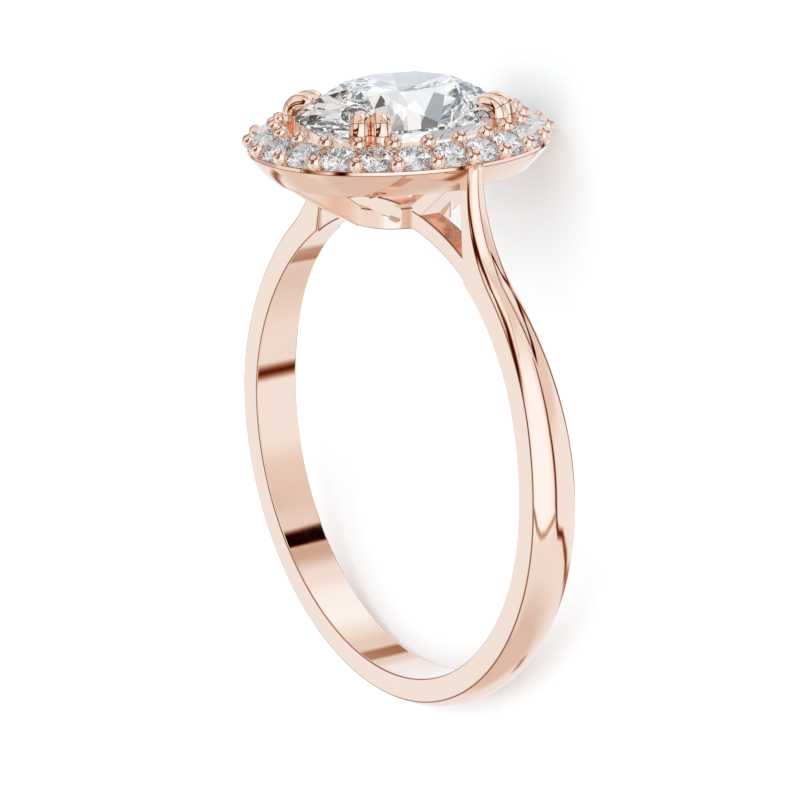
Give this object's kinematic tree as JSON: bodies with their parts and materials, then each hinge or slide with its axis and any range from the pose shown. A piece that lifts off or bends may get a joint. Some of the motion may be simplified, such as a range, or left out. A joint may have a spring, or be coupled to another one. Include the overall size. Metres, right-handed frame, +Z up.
{
  "type": "pave diamond ring",
  "caption": "Oval halo ring in rose gold: a round-crested band with shoulders that rise to a pave halo, and an oval stone held by paired claws. It lies on its side.",
  "frame": {"origin": "middle of the ring's box, on the surface that it rests on", "axes": "+X from the foot of the band towards the halo, +Z up from the surface; the finger hole's axis leans 13 degrees from +Z, away from +X"},
  "size_m": [0.0224, 0.0188, 0.0109],
  "materials": {
    "rose_gold": "mirror polished rose gold",
    "diamond": "cut and polished, colourless"
  },
  "bodies": {
    "root": {"ring_metal": "rose_gold", "center_stone": "diamond", "halo_stone_1": "diamond", "halo_stone_2": "diamond", "halo_stone_3": "diamond", "halo_stone_4": "diamond", "halo_stone_5": "diamond", "halo_stone_6": "diamond", "halo_stone_7": "diamond", "halo_stone_8": "diamond", "halo_stone_9": "diamond", "halo_stone_10": "diamond", "halo_stone_11": "diamond", "halo_stone_12": "diamond", "halo_stone_13": "diamond", "halo_stone_14": "diamond", "halo_stone_15": "diamond", "halo_stone_16": "diamond", "halo_stone_17": "diamond", "halo_stone_18": "diamond", "halo_stone_19": "diamond", "halo_stone_20": "diamond", "halo_stone_21": "diamond", "halo_stone_22": "diamond"}
  },
  "joints": []
}
